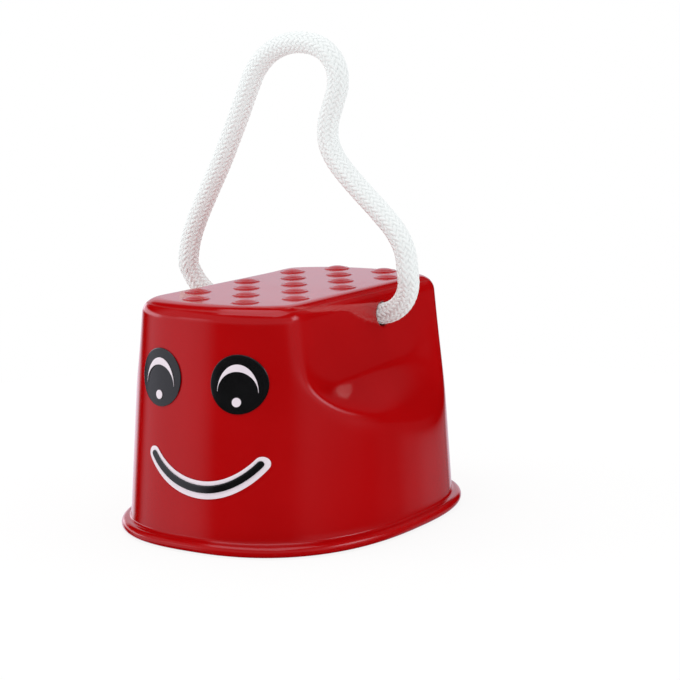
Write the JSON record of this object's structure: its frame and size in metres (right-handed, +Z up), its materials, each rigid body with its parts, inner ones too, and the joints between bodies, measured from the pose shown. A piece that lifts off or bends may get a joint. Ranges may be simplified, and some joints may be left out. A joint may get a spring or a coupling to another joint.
{
  "type": "walking bucket stilt",
  "caption": "Hollow oval bucket stilt with a bumpy foot deck, recessed side panels, a knotted rope handle loop and smiling face stickers on its front end.",
  "frame": {"origin": "middle of the oval foot, on the ground", "axes": "+Z up through the foot deck, the face end looks along -Y, +X to the right when the face end is nearest"},
  "size_m": [0.09, 0.11, 0.1433],
  "materials": {
    "bucket_plastic": "glossy moulded red plastic",
    "rope_braid": "soft white braided rope",
    "sticker_black": "black printed vinyl",
    "sticker_white": "white printed vinyl"
  },
  "bodies": {
    "stilt": {"bucket": "bucket_plastic", "left_knot": "rope_braid", "right_knot": "rope_braid", "left_eye": "sticker_black", "left_eye_shine": "sticker_white", "right_eye": "sticker_black", "right_eye_shine": "sticker_white", "smile_backing": "sticker_white", "smile_line": "sticker_black"},
    "rope_loop": {"rope": "rope_braid"}
  },
  "joints": [
    {"name": "rope_swing", "type": "hinge", "parent": "stilt", "child": "rope_loop", "pos_m": [0, 0.0085, 0.061], "axis": [1, 0, 0], "range_deg": [-75, 60]}
  ]
}
